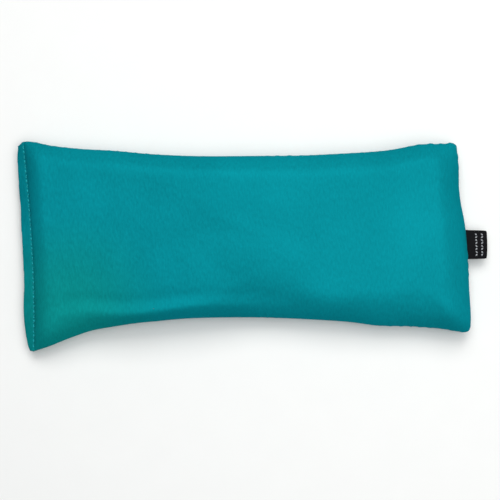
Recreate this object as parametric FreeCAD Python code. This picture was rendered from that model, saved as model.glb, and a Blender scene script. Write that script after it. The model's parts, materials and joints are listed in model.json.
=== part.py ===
import FreeCAD, Part
import math
import os

# Seed-filled eye pillow, lying flat. Millimetres.
# +X runs along the pillow to the end that carries the woven label, +Y runs across it and +Z is up.
# The origin is at the middle of the pillow's box, on the surface that the pillow lies on.
#
# Both ends of the pillow lean the same way, so a place on it is given by a station s along its
# length and by a share t across its width: -1 on the front seam, 0 half way and +1 on the back seam.

# Outline
LEAN = 0.058              # how far the ends lean, per mm of width
CLOSING_EDGE = -119.0     # station of the flat closing hem's outer edge
CLOSING_STITCH = -114.4   # station of the row of stitches that closes the pillow
LABEL_END = 109.0         # station of the seam at the label end, at its corners
LABEL_END_BOW = 2.4       # how far that seam bulges between its corners
BOW_PEAK = -0.2           # share of the width where it bulges most
BACK_WAIST = 46.8         # half widths at the waist, from the lengthwise axis
FRONT_WAIST = 36.4
CORNER_RADIUS = 3.0       # plan radius of the two turned corners at the label end

# Each side flares from the waist towards each end by (how far, with which power of the distance).
BACK_CLOSING_FLARE = (7.2, 2.4)
BACK_LABEL_FLARE = (6.0, 2.0)
FRONT_CLOSING_FLARE = (17.6, 2.9)
FRONT_LABEL_FLARE = (7.2, 1.4)

# Depth
SEAM_HEIGHT = 8.5         # height of the seams above the table
CREST = 18.5              # top panel's rise above the seams, where the filling is deepest
SAG = 14.0                # bottom panel's fall below the seams, if no table held it up
EDGE_RISE = 1.0           # each panel's depth at the hem and at the end seam

# A panel's depth falls off towards its edges as (1 - share ** power) ** root. A greater power keeps
# it level for longer, and a smaller root makes it drop more steeply at the edge.
TOP_ROUNDNESS = (3.4, 0.58)
BOTTOM_ROUNDNESS = (5.0, 0.7)
HEM_ROUNDNESS = (30.0, 0.5)
LENGTH_ROUNDNESS = (4.0, 0.58)

# Cloth, filling and thread
CLOTH = 0.5               # thickness of a satin panel
RIM = 1.2                 # width of the folded cloth at a seam
ALLOWANCE = 8.0           # width of the seam allowances turned inside
FILL_GAP = 0.15           # clearance all round the seed filling
THREAD = 0.35             # sewing thread, across
STITCH_PITCH = 2.5
STITCH_LENGTH = 2.1
SEAM_LINE = 1.5           # how far inside the edge the side seams are sewn
TOUCH_GAP = 0.03          # keeps thread clear of the cloth it lies on

# Fold across the middle
FOLD_ANGLE = 60.0
FOLD_GAP = 0.4            # between the two halves, at and below the fold line

# Label: a tape folded in half with its tails caught in the end seam
LABEL_WIDTH = 15.0
LABEL_MIDDLE = 1.1        # place of its middle across the pillow
LABEL_TIP = 122.0         # where the fold in the tape ends
TAPE = 0.24               # thickness of one layer of tape
TAPE_GAP = 0.04           # between its two layers
TAIL_LENGTH = 7.0
TAIL_PROUD = 0.35         # how far the sewn tails stand out of the seam
LABEL_HINGE = 1.0         # distance of the label's bend line from the seam
LABEL_START = LABEL_HINGE + 0.4   # the moving tape starts just past its bend line
TAIL_CLEARANCE = 0.05
SLOT_REACH = 2.0          # how far the slot for the tails runs on, outside the seam
MOTIF_ROWS = 4
MOTIF_COLUMNS = (5.8, 3.0)   # how far the chevrons start from the label's tip
MOTIF_ARM = 1.5           # width of a chevron across the label
MOTIF_STROKE = 0.6
MOTIF_THICK = 0.1

# Stations of the sections, closer together where the shape turns quickly
BODY_STATIONS = [-112.6, -110.0, -105.0, -97.0, -86.0, -70.0, -48.0, -24.0, 0.0,
                 24.0, 48.0, 66.0, 82.0, 93.0, 100.0, 104.0, 106.0, 107.3]
OUTER_STATIONS = [CLOSING_EDGE, CLOSING_STITCH, -113.6] + BODY_STATIONS + [108.3, LABEL_END]
INNER_STATIONS = BODY_STATIONS + [107.8]
ACROSS = 14               # spans of the curve across a section
OUTLINE_SPANS = 24        # spans of the plan outline along each side
END_SPANS = 8             # and along the end seam
BARE_HEM_STITCHES = 2     # stitches left out of the closing row, so that it stops short of both sides
FAR = 200.0               # beyond the pillow in every direction
SLIVER = 2.0              # cubic mm, below which a solid is only a crumb of a cut


def vector(x, y, z):
    return FreeCAD.Vector(x, y, z)


def flare(s, closing, label):
    """How much wider than its waist one side is at station s."""
    if s < 0:
        size, power = closing
        return size * min(abs(s / CLOSING_STITCH), 1.0) ** power
    size, power = label
    return size * (s / LABEL_END) ** power


def corner_cut(distance):
    """How far a rounded corner pulls a side in, this distance from the end seam."""
    short = max(CORNER_RADIUS - distance, 0.0)
    return CORNER_RADIUS - math.sqrt(CORNER_RADIUS ** 2 - short ** 2)


def sides(s, inset=0.0):
    """Places of the front and back seams at station s, from the lengthwise axis."""
    cut = corner_cut(LABEL_END - s) + inset
    back = BACK_WAIST + flare(s, BACK_CLOSING_FLARE, BACK_LABEL_FLARE) - cut
    front = cut - FRONT_WAIST - flare(s, FRONT_CLOSING_FLARE, FRONT_LABEL_FLARE)
    return front, back


def end_bow(s, t):
    """How far the bulge of the label end moves a place along X."""
    bulge = 1 - ((t - BOW_PEAK) / (1 - BOW_PEAK)) ** 2
    return LABEL_END_BOW * bulge * (max(s, 0.0) / LABEL_END) ** 4


def place(s, t, z, inset=0.0):
    """The point at station s and share t across, at height z."""
    front, back = sides(s, inset)
    y = (front + back) / 2 + t * (back - front) / 2
    return vector(s - LEAN * y + end_bow(s, t), y, z)


def fullness(s):
    """1 where the filling is deepest, 0 at the closing stitches and at the end seam."""
    end = CLOSING_STITCH if s < 0 else LABEL_END
    power, root = LENGTH_ROUNDNESS
    return (1 - min(abs(s / end), 1.0) ** power) ** root


def depth(s, t, deepest, roundness, thinner=0.0):
    """Distance of a panel from the seams' level at station s and share t."""
    if s <= CLOSING_STITCH:
        roundness = HEM_ROUNDNESS
    power, root = roundness
    middle = EDGE_RISE + (deepest - EDGE_RISE) * fullness(s) - thinner
    return middle * (1 - abs(t) ** power) ** root


def section(s, inset, thinner):
    """Closed wire across the pillow: over the top from front to back, then back underneath."""
    shares = [-math.cos(math.pi * i / ACROSS) for i in range(ACROSS + 1)]
    top = [place(s, t, SEAM_HEIGHT + depth(s, t, CREST, TOP_ROUNDNESS, thinner), inset)
           for t in shares]
    bottom = [place(s, t, SEAM_HEIGHT - depth(s, t, SAG, BOTTOM_ROUNDNESS, thinner), inset)
              for t in reversed(shares)]
    edges = []
    for points in (top, bottom):
        curve = Part.BSplineCurve()
        curve.interpolate(points)
        edges.append(curve.toShape())
    return Part.Wire(edges)


def slab(low, high):
    """Everything between two heights."""
    return Part.makeBox(2 * FAR, 2 * FAR, high - low, vector(-FAR, -FAR, low))


def loft(stations, inset, thinner):
    """The pillow's outer form, drawn in all over and resting on a flat table."""
    sections = [section(s, inset, thinner) for s in stations]
    faces = Part.makeLoft(sections, False, True).Faces
    for wire in (sections[0], sections[-1]):
        over, under = wire.Edges
        faces.append(Part.makeRuledSurface(over, under))
    shell = Part.makeShell(faces)
    shell.sewShape()
    return Part.makeSolid(shell).common(slab(thinner, FAR))


def outline(inset):
    """Plan face of the pillow between the closing stitches and the end seam, drawn in."""
    start = INNER_STATIONS[0] + inset / ALLOWANCE
    last = LABEL_END - inset
    stations = [start + (last - start) * i / OUTLINE_SPANS for i in range(OUTLINE_SPANS + 1)]
    back = [place(s, 1.0, 0.0, inset) for s in stations]
    end = [place(last, 1.0 - 2 * i / END_SPANS, 0.0, inset) for i in range(END_SPANS + 1)]
    front = [place(s, -1.0, 0.0, inset) for s in reversed(stations)]
    edges = []
    for points in (back, end, front):
        curve = Part.BSplineCurve()
        curve.interpolate(points)
        edges.append(curve.toShape())
    edges.append(Part.LineSegment(front[-1], back[0]).toShape())
    return Part.Face(Part.Wire(edges))


def band(outer, inner, low, high):
    """A strip that follows the three sewn sides, between two insets and two heights."""
    strip = outline(outer).cut(outline(inner))
    strip.translate(vector(0, 0, low))
    return strip.extrude(vector(0, 0, high - low))


def label_block(start, end, half_thickness, wider=0.0):
    """A block on the label's place, from one distance outside the end seam to another."""
    low = LABEL_MIDDLE - LABEL_WIDTH / 2 - wider
    high = LABEL_MIDDLE + LABEL_WIDTH / 2 + wider
    seam = LABEL_END + LABEL_END_BOW
    corners = [vector(seam + start - LEAN * low, low, 0), vector(seam + end - LEAN * low, low, 0),
               vector(seam + end - LEAN * high, high, 0), vector(seam + start - LEAN * high, high, 0)]
    face = Part.Face(Part.makePolygon(corners + corners[:1]))
    face.translate(vector(0, 0, SEAM_HEIGHT - half_thickness))
    return face.extrude(vector(0, 0, 2 * half_thickness))


def without_slivers(shape):
    """The shape's real pieces, without crumbs that a cut leaves at a corner."""
    return Part.makeCompound([solid for solid in shape.Solids if solid.Volume > SLIVER])


def label_slot():
    """The gap that the tails of the tape take up in the seam."""
    half = TAPE + TAPE_GAP / 2 + TAIL_CLEARANCE
    return label_block(-TAIL_LENGTH - TAIL_CLEARANCE, SLOT_REACH, half, TAIL_CLEARANCE)


def panels(outer, inner):
    """Top and bottom satin panels, each with its allowances turned in along the seams."""
    shell = outer.cut(inner)
    made = []
    for low, high, shelf in ((SEAM_HEIGHT, FAR, CLOTH), (-FAR, SEAM_HEIGHT, -CLOTH)):
        skin = shell.common(slab(low, high))
        edges = sorted((SEAM_HEIGHT, SEAM_HEIGHT + shelf))
        allowance = band(RIM / 2, ALLOWANCE, edges[0], edges[1]).common(outer)
        made.append(skin.fuse(allowance).cut(label_slot()))
    return made


def filling():
    """The seeds, as the one closed shape that they fill, clear of the allowances."""
    form = loft(BODY_STATIONS[1:], RIM + FILL_GAP, CLOTH + FILL_GAP)
    groove_half = CLOTH + THREAD + 2 * FILL_GAP
    groove = band(0.0, ALLOWANCE + FILL_GAP, SEAM_HEIGHT - groove_half, SEAM_HEIGHT + groove_half)
    return form.cut(groove)


def seam_thread(side, inner):
    """One of the two threads of the lockstitch round the three sewn sides."""
    near = SEAM_HEIGHT + side * (CLOTH + TOUCH_GAP)
    heights = sorted((near, near + side * THREAD))
    return band(SEAM_LINE, SEAM_LINE + THREAD, heights[0], heights[1]).common(inner)


def closing_thread(side):
    """One face of the row of stitches that closes the hem."""
    front, back = sides(CLOSING_STITCH)
    count = int((back - front) / STITCH_PITCH) - BARE_HEM_STITCHES
    station = CLOSING_STITCH - THREAD
    rise = EDGE_RISE + TOUCH_GAP + THREAD / 2
    stitches = []
    for i in range(count):
        y = (front + back) / 2 + (i - count / 2) * STITCH_PITCH
        start = vector(station - LEAN * y, y, SEAM_HEIGHT + side * rise)
        stitches.append(Part.makeCylinder(THREAD / 2, STITCH_LENGTH, start, vector(-LEAN, 1, 0)))
    return Part.makeCompound(stitches)


def tape_tails():
    """The two ends of the label tape, inside the seam."""
    layers = []
    for side in (-1, 1):
        layer = label_block(-TAIL_LENGTH, TAIL_PROUD, TAPE / 2)
        layer.translate(vector(0, 0, side * (TAPE + TAPE_GAP) / 2))
        layers.append(layer)
    return Part.makeCompound(layers)


def tape_fold():
    """The part of the tape that shows: out, round a tight fold and back."""
    half = TAPE + TAPE_GAP / 2
    low = LABEL_MIDDLE - LABEL_WIDTH / 2
    nose = LABEL_TIP - half
    profile = []
    for radius in (half, TAPE_GAP / 2):
        upper = vector(0, low, SEAM_HEIGHT + radius)
        lower = vector(0, low, SEAM_HEIGHT - radius)
        upper_nose = upper + vector(nose, 0, 0)
        lower_nose = lower + vector(nose, 0, 0)
        tip = vector(nose + radius, low, SEAM_HEIGHT)
        wire = Part.Wire([Part.LineSegment(upper, upper_nose).toShape(),
                          Part.Arc(upper_nose, tip, lower_nose).toShape(),
                          Part.LineSegment(lower_nose, lower).toShape(),
                          Part.LineSegment(lower, upper).toShape()])
        profile.append(Part.Face(wire).extrude(vector(0, LABEL_WIDTH, 0)))
    folded = profile[0].cut(profile[1])
    return folded.common(label_block(LABEL_START, FAR, 2 * half))


def label_motif():
    """Rows of plain chevrons, woven in a second colour on the top of the label."""
    height = SEAM_HEIGHT + TAPE + TAPE_GAP / 2 + TOUCH_GAP
    pitch = LABEL_WIDTH / (MOTIF_ROWS + 1)
    half = MOTIF_ARM / 2
    marks = []
    for row in range(MOTIF_ROWS):
        y = LABEL_MIDDLE + (row - (MOTIF_ROWS - 1) / 2) * pitch
        for column in MOTIF_COLUMNS:
            x = LABEL_TIP - column
            far = x + MOTIF_STROKE
            points = [vector(x, y - half, height), vector(far, y - half, height),
                      vector(far + half, y, height), vector(far, y + half, height),
                      vector(x, y + half, height), vector(x + half, y, height)]
            face = Part.Face(Part.makePolygon(points + points[:1]))
            marks.append(face.extrude(vector(0, 0, MOTIF_THICK)))
    return Part.makeCompound(marks)


def half_space(side):
    """What one half keeps: it leans back above the seams, to leave room for the fold."""
    lean = FAR * math.tan(math.radians(FOLD_ANGLE / 2))
    near = side * FOLD_GAP / 2
    points = [vector(near, -FAR, -FAR), vector(near, -FAR, SEAM_HEIGHT),
              vector(near + side * lean, -FAR, SEAM_HEIGHT + FAR),
              vector(side * 2 * FAR, -FAR, SEAM_HEIGHT + FAR), vector(side * 2 * FAR, -FAR, -FAR)]
    return Part.Face(Part.makePolygon(points + points[:1])).extrude(vector(0, 2 * FAR, 0))


def main():
    outer = loft(OUTER_STATIONS, 0.0, 0.0)
    inner = loft(INNER_STATIONS, RIM, CLOTH)
    top, bottom = panels(outer, inner)
    crossing = {
        "top_panel": top,
        "bottom_panel": bottom,
        "seed_filling": filling(),
        "seam_needle_thread": seam_thread(1, inner),
        "seam_bobbin_thread": seam_thread(-1, inner),
    }
    nodes = {
        "closing_needle_thread": closing_thread(1),
        "closing_bobbin_thread": closing_thread(-1),
        "label_tails": tape_tails(),
        "label_fold": tape_fold(),
        "label_motif_threads": label_motif(),
    }
    for name, shape in crossing.items():
        nodes[name + "_closing_half"] = without_slivers(shape.common(half_space(-1)))
        nodes[name + "_label_half"] = without_slivers(shape.common(half_space(1)))

    os.makedirs("parts", exist_ok=True)
    for name, shape in nodes.items():
        shape.exportStep("parts/" + name + ".step")
        box = shape.optimalBoundingBox()
        print(name, "solids", len(shape.Solids), "valid", shape.isValid(),
              "volume", round(shape.Volume, 1), "x", round(box.XMin, 1), round(box.XMax, 1),
              "y", round(box.YMin, 1), round(box.YMax, 1), "z", round(box.ZMin, 1), round(box.ZMax, 1))


main()
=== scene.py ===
import json
import math
import random

import bmesh
import bpy
import numpy as np
from bpy.props import FloatProperty, FloatVectorProperty, IntProperty, PointerProperty
from bpy.types import Operator, Panel, PropertyGroup
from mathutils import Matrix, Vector, noise


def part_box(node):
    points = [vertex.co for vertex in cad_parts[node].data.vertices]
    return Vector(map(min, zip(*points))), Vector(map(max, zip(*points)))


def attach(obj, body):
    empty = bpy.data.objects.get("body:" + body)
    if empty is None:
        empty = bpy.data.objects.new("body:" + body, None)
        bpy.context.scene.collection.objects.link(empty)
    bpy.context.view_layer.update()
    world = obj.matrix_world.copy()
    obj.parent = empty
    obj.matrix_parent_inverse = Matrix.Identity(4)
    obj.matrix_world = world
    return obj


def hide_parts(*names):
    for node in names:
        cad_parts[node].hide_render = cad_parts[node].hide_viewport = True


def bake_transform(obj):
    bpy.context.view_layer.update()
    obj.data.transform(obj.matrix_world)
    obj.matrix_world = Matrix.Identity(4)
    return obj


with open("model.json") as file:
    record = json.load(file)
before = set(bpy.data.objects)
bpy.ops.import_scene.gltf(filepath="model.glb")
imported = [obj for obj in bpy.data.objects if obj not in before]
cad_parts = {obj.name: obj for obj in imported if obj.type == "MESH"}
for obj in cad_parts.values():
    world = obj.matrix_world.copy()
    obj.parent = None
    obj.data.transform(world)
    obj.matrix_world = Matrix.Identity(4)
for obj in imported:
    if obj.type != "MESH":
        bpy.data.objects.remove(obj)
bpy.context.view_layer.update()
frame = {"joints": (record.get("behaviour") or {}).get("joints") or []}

bl_info = {
    "name": "Seed Eye Pillow",
    "version": (1, 0, 0),
    "blender": (4, 5, 0),
    "location": "3D View > Sidebar > Eye Pillow",
    "description": "Makes the satin cover, stitching, label and flax filling of an eye pillow",
    "category": "Object",
}

# A place on the pillow is a station s along it and a share t across it: -1 on the front seam, +1
# on the back seam. Both ends lean the same way. All lengths are in metres.
MM = 0.001
FOLD, FLEX = frame["joints"]
SEAM_HEIGHT = FOLD["pos_m"][2]
LEAN = -FLEX["axis"][0] / FLEX["axis"][1]
CLOSING_LOW, CLOSING_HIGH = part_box("top_panel_closing_half")
LABEL_LOW, LABEL_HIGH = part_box("label_fold")
LABEL_MIDDLE = (LABEL_LOW.y + LABEL_HIGH.y) / 2
LABEL_WIDTH = LABEL_HIGH.y - LABEL_LOW.y
LABEL_SEAM = FLEX["pos_m"][0] + LEAN * FLEX["pos_m"][1] - 1.0 * MM
CLOSING_EDGE = CLOSING_LOW.x + LEAN * CLOSING_HIGH.y
CLOSING_STITCH = -113.8 * MM
END_BOW = 2.4 * MM
BOW_PEAK = -0.2
LABEL_END = LABEL_SEAM - END_BOW
CORNER_RADIUS = 3.0 * MM

# Each side flares from the waist: how far at the end, and with which power of the distance.
BACK_WAIST = 46.8 * MM
FRONT_WAIST = 36.4 * MM
BACK_CLOSING_FLARE = (CLOSING_HIGH.y - BACK_WAIST, 2.4)
BACK_LABEL_FLARE = (6.0 * MM, 2.0)
FRONT_CLOSING_FLARE = (-CLOSING_LOW.y - FRONT_WAIST, 2.9)
FRONT_LABEL_FLARE = (7.2 * MM, 1.4)

# How the outline strays from those even curves, as (place, half length, how far out) in mm: the
# two sides by station, the two ends by y
BACK_WAVES = ((-119.5, 4.5, -1.8), (-109.5, 6, 0.9), (-68, 13, 0.6), (-26, 22, -0.3),
              (28, 15, -0.2), (91, 13, 1.9), (108, 5, 0.8))
FRONT_WAVES = ((-107, 7, 0.5), (-85, 9, -0.6), (-51, 9, 0.3), (63, 11, 1.0), (105, 7, 0.9))
LABEL_END_WAVES = ((27, 12, -1.6), (-36, 10, 0.6))
CLOSING_END_WAVES = ((-36, 14, 1.3), (20, 5, -0.35), (52, 4, -0.7), (-56, 4, -1.4))

HALVES = ("closing_half", "label_half")

# The cover's cloth in the simulation, pressed out by the filling, how long it settles, and the
# furthest that any point of it may move
SATIN_CLOTH = {"quality": 8, "mass": 0.15, "tension_stiffness": 20.0,
               "compression_stiffness": 20.0, "shear_stiffness": 8.0, "bending_stiffness": 0.5,
               "use_pressure": True, "uniform_pressure_force": 1.2}
SETTLING_STEPS = 20
MOST_SETTLING = 0.35 * MM

# Painted highlight: a greener sheen painted into the satin's colour. The middle of that place, how
# far it is plainest and where it ends, and the tint
PAINTED_SHEEN_PLACE = (-94.0 * MM, -36.0 * MM, SEAM_HEIGHT)
PAINTED_SHEEN_REACH = (10.0 * MM, 62.0 * MM)
PAINTED_SHEEN_TINT = (1.6, 1.05, 0.85, 1.0)

STITCH_PITCH = 2.5 * MM

# The turned-in edge of a panel: the radius it rolls round, half the gap to the other panel, the
# least width of the allowance and the width of cloth turned in at the hem
EDGE_RADIUS = 0.42 * MM
EDGE_GAP = 0.03 * MM
LEAST_TURN = 0.5 * MM
HEM_TURN = 11.0 * MM

# Size and height of the soft lumps in each panel, and of the seeds that press through
LUMPS = (15.0 * MM, 0.42 * MM)
SEED_MARKS = (2.6 * MM, 0.10 * MM)

# The heap of seed: where it starts and ends, its least height on each side of the seams, and the
# size and height of its lumps
HEAP_START = CLOSING_STITCH + 8.0 * MM
HEAP_END = LABEL_END - 5.0 * MM
LEAST_HEAP = 0.2 * MM
HEAP_LUMPS = (4.0 * MM, 0.22 * MM)

# The seeds on it: the share on top, how their sizes vary, how far they stand out, and the shape of
# one as shares of its length
TOP_SHARE = 0.6
SEED_SIZES = (0.86, 1.12)
SEED_LIFT = 0.28 * MM
SEED_WIDTH = 0.5
SEED_DEPTH = 0.24
SEED_TAPER = 0.35

# How far inside the seams' edge their stitches run
SEAM_INSET = 1.6 * MM

# The label's grid and its motif: chevrons across the label, the places of their columns as shares
# of its length, the thickness of their thread and how far apart their three lines lie
LABEL_COLUMNS = 31
MOTIF_ROWS = 4
MOTIF_COLUMNS = (0.47, 0.76)
MOTIF_THREAD = 0.2 * MM
MOTIF_LINE_GAP = 0.26 * MM

# The cover's settled cloth, kept here for the filling, which fits inside it
SETTLED = {}

# How far in from each edge the top panel keeps rolling over before it is level, and how it does so
BACK_ROLL = (14.0 * MM, 2.8, 0.55)
LABEL_ROLL = (16.0 * MM, 2.1, 0.66)
CLOSING_ROLL = (9.0 * MM, 2.4, 0.72)
FRONT_ROLL = (2.4, 0.60)


class PillowCover(PropertyGroup):
    crest: FloatProperty(name="Crest", unit="LENGTH", default=16.5 * MM,
                         description="Rise of the top panel above the seams at its fullest")
    sag: FloatProperty(name="Sag", unit="LENGTH", default=14.0 * MM,
                       description="Fall of the bottom panel if no table stopped it")
    cloth: FloatProperty(name="Cloth", unit="LENGTH", default=0.3 * MM,
                         description="Thickness of the satin")
    allowance: FloatProperty(name="Seam allowance", unit="LENGTH", default=8.0 * MM,
                             description="Width of cloth turned in along a seam")
    hem: FloatProperty(name="Hem thickness", unit="LENGTH", default=1.24 * MM,
                       description="Thickness of the four layers of the closing hem")
    ease: FloatProperty(name="Ease", default=0.004, min=0.0, max=0.05,
                        description="Share of extra cloth that the seams gather up")
    satin: FloatVectorProperty(name="Satin", subtype="COLOR", size=4,
                               default=(0.0020, 0.222, 0.270, 1.0),
                               description="Colour of the satin face")


class PillowThread(PropertyGroup):
    pitch: FloatProperty(name="Stitch pitch", unit="LENGTH", default=STITCH_PITCH,
                         description="Distance from one stitch to the next")
    length: FloatProperty(name="Stitch length", unit="LENGTH", default=2.15 * MM,
                          description="Length of thread that shows between two needle holes")
    thick: FloatProperty(name="Thread", unit="LENGTH", default=0.80 * MM,
                         description="Thickness of the topstitching thread")
    topstitch: FloatVectorProperty(name="Topstitch", subtype="COLOR", size=4,
                                   default=(0.014, 0.32, 0.36, 1.0),
                                   description="Colour of the topstitching thread")
    seam: FloatVectorProperty(name="Seam thread", subtype="COLOR", size=4,
                              default=(0.01, 0.24, 0.29, 1.0),
                              description="Colour of the thread inside the seams")


class PillowFilling(PropertyGroup):
    count: IntProperty(name="Seeds", default=2400, min=100, max=3000,
                       description="Number of seeds that lie on the outside of the filling")
    seed_length: FloatProperty(name="Seed length", unit="LENGTH", default=4.6 * MM,
                               description="Length of one flax seed")
    clearance: FloatProperty(name="Clearance", unit="LENGTH", default=2.0 * MM,
                             description="Depth of the heap's surface under the face of the cloth")
    colour: FloatVectorProperty(name="Seed", subtype="COLOR", size=4,
                                default=(0.17, 0.065, 0.022, 1.0),
                                description="Colour of the seed coat")


class PillowLabel(PropertyGroup):
    tape: FloatProperty(name="Tape", unit="LENGTH", default=0.24 * MM,
                        description="Thickness of the woven tape")
    tail: FloatProperty(name="Tail", unit="LENGTH", default=7.0 * MM,
                        description="Length of tape caught in the seam")
    droop: FloatProperty(name="Droop", unit="LENGTH", default=0.8 * MM,
                         description="How far the tip of the label hangs below the seam")
    ground: FloatVectorProperty(name="Tape colour", subtype="COLOR", size=4,
                                default=(0.0045, 0.0045, 0.006, 1.0),
                                description="Colour of the tape")
    motif: FloatVectorProperty(name="Motif colour", subtype="COLOR", size=4,
                               default=(0.42, 0.43, 0.46, 1.0),
                               description="Colour of the motif's weft")


class PillowStage(PropertyGroup):
    lens: FloatProperty(name="Lens", default=85.0, min=20.0, max=200.0,
                        description="Focal length of the camera in millimetres")
    span: FloatProperty(name="Span", unit="LENGTH", default=258.5 * MM,
                        description="Width of the view at the height of the seams")
    floor: FloatVectorProperty(name="Floor", subtype="COLOR", size=4,
                               default=(0.86, 0.86, 0.86, 1.0), description="Colour of the floor")


# ---------------------------------------------------------------- form of the pillow

def flare(s, closing, label):
    """How much wider than its waist one side is at the stations s."""
    size, power = closing
    towards_closing = size * np.minimum(np.abs(s / CLOSING_STITCH), 1.0) ** power
    size, power = label
    towards_label = size * np.abs(s / LABEL_END) ** power
    return np.where(s < 0, towards_closing, towards_label)


def waves(place, swells):
    """How far out a wavy line strays at each place, given in metres."""
    return sum(out * MM * np.exp(-((place / MM - middle) / half) ** 2)
               for middle, half, out in swells)


def sides(s, inset=0.0):
    """Places of the front and back seams at the stations s."""
    short = np.clip(CORNER_RADIUS - (LABEL_END - s), 0.0, CORNER_RADIUS)
    cut = CORNER_RADIUS - np.sqrt(CORNER_RADIUS ** 2 - short ** 2) + inset
    back = BACK_WAIST + flare(s, BACK_CLOSING_FLARE, BACK_LABEL_FLARE) - cut + waves(s, BACK_WAVES)
    front = cut - FRONT_WAIST - flare(s, FRONT_CLOSING_FLARE, FRONT_LABEL_FLARE)
    return front - waves(s, FRONT_WAVES), back


def between(front, back, t):
    """The place across that the share t stands for."""
    return (front + back) / 2 + t * (back - front) / 2


def plan(s, t, inset=0.0):
    """Places on the table under the stations s and shares t."""
    y = between(*sides(s, inset), t)
    bulge = 1 - ((t - BOW_PEAK) / (1 - BOW_PEAK)) ** 2
    x = s - LEAN * y + END_BOW * bulge * (np.maximum(s, 0.0) / LABEL_END) ** 4
    # the closing stitches run nearer to the edge at both corners
    reach = np.where(t > 0, 1.5 * MM, 2.2 * MM) * t ** 2
    body = np.abs(np.minimum(s, 0.0) / CLOSING_STITCH) ** 12
    hem = (s - CLOSING_EDGE) / (CLOSING_STITCH - CLOSING_EDGE)
    x = x - reach * np.where(s > CLOSING_STITCH, body, hem)
    x = x - waves(y, CLOSING_END_WAVES) * np.clip(1 - hem, 0, 1)
    x = x + waves(y, LABEL_END_WAVES) * (np.maximum(s, 0.0) / LABEL_END) ** 8
    return x, y


def fullness(s, power, root):
    """1 where the filling is deepest, 0 at the closing stitches and at the end seam."""
    end = np.where(s < 0, CLOSING_STITCH, LABEL_END)
    return (1 - np.minimum(np.abs(s / end), 1.0) ** power) ** root


def seam_level(s, y=0.0):
    """Height of the seams, a little lower at both ends; the hem's loose edge hangs and waves."""
    hang = np.clip((CLOSING_STITCH - s) / (CLOSING_STITCH - CLOSING_EDGE), 0.0, 1.0)
    wave = 0.28 * np.sin(y / (2.9 * MM) + 1.0) + 0.24 * np.sin(y / (4.7 * MM))
    lifted = SEAM_HEIGHT + 2.4 * MM * fullness(s, 2.0, 1.0) - 0.6 * MM
    return lifted - (2.5 - wave) * MM * hang ** 1.2


def ramp(value, low, high):
    """0 below low, 1 above high, and a soft slope between them; the limits are in mm."""
    share = np.clip((value / MM - low) / (high - low), 0.0, 1.0)
    return share * share * (3 - 2 * share)


def roll(distance, reach, power, root):
    """Share of the full rise this far inside a seam: steep at first, level past the reach."""
    near = 1 - np.clip(distance / reach, 0.0, 1.0)
    return (1 - near ** power) ** root


def front_roll(s):
    """The front seam's reach: short where the seed is packed, long where the panel falls away."""
    reach = 13.0 - 6.0 * ramp(s, -104, -58) + 9.0 * ramp(s, -60, 20) + 7.0 * ramp(s, 35, 75)
    reach = reach - 13.0 * ramp(s, 84, 106)
    dip = 11.0 * np.exp(-((s / MM - 5) / 20) ** 2)
    return (reach + dip) * MM


def crown(s):
    """Share of the crest along the pillow, which is lower at the closing end."""
    closing = 0.40 * np.abs(np.minimum(s, 0.0) / CLOSING_STITCH) ** 2.2
    label = 0.05 * (np.maximum(s, 0.0) / LABEL_END) ** 2.5
    return 1 - closing - label


# Soft swells (+) and hollows (-) that the shifted seed makes in the top panel, all in mm:
# middle x and y, half length, half width, turn in degrees, height
SWELLS = (
    (3, -22, 21, 9, -6, -1.25),      # hollow in the middle of the front side
    (-20, 7, 16, 2.6, 2, -0.14),     # short crease across the middle
    (-10, 12, 12, 2.6, -22, 0.20),   # lip of that crease
    (-60, 30, 30, 14, 0, -0.4),
    (42, 14, 14, 10, 0, -0.25),      # dimple in the label half
    (97, -38, 9, 6, 20, 1.0),        # corner where the seed has gathered
    (-101, -34, 5, 14, -8, 0.9),     # ridge beside the closing end
    (-108, -44, 5, 8, 0, 1.3),       # loose cloth at the front closing corner
)


# The seed has slumped a little on the closing side of a slanting line across the pillow: a place
# on the line, the way down from it, the slope, and how softly it starts, in mm
SLUMP_START = (-38, 38)
SLUMP_WAY = (-0.592, -0.806)
SLUMP_SLOPE = 0.042
SLUMP_SOFTNESS = 3.0

# The turned-in allowance shows as a low ridge beside the front seam, with a furrow behind it: how
# far inside the seam, half width and height, and how much further in they lie past the corner, in mm
RIDGES = ((5.5, 3.0, 0.75), (11.5, 4.0, -0.9))
RIDGE_SHIFT = 7.5


def relief(s, t):
    """Unevenness of the top panel at the stations s and shares t."""
    x, y = plan(s, t)
    height = np.zeros_like(x)
    for middle_x, middle_y, along, across, turn, rise in SWELLS:
        cos, sin = math.cos(math.radians(turn)), math.sin(math.radians(turn))
        dx, dy = x / MM - middle_x, y / MM - middle_y
        u = (dx * cos + dy * sin) / along
        v = (dy * cos - dx * sin) / across
        height += rise * MM * np.exp(-u * u - v * v)
    beyond = sum(way * (place / MM - start)
                 for way, place, start in zip(SLUMP_WAY, (x, y), SLUMP_START))
    soft = np.log1p(np.exp(np.clip(beyond, -60, 26) / SLUMP_SOFTNESS))
    height -= SLUMP_SLOPE * MM * SLUMP_SOFTNESS * soft
    inside = (y - sides(s)[0]) / MM - RIDGE_SHIFT * (1 - ramp(s, -104, -58))
    stretch = ramp(s, -112, -102) * (1 - ramp(s, -16, 26))
    for middle, half, rise in RIDGES:
        height += rise * MM * np.exp(-((inside - middle) / half) ** 2) * stretch
    return height * (1 - np.abs(t) ** 6) * fullness(s, 10.0, 1.0)


def rise(s, t, crest):
    """Height of the top panel above the seams."""
    front, back = sides(s)
    y = between(front, back, t)
    body = crest * crown(s) * roll(y - front, front_roll(s), *FRONT_ROLL)
    body = body * roll(back - y, *BACK_ROLL)
    body = body * roll(s - CLOSING_STITCH - 0.5 * MM, *CLOSING_ROLL)
    return body * roll(LABEL_END - s, *LABEL_ROLL) + relief(s, t)


def fall(s, t, sag):
    """Depth of the bottom panel below the seams."""
    return sag * fullness(s, 4.0, 0.55) * (1 - np.abs(t) ** 4.0) ** 0.62


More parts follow.
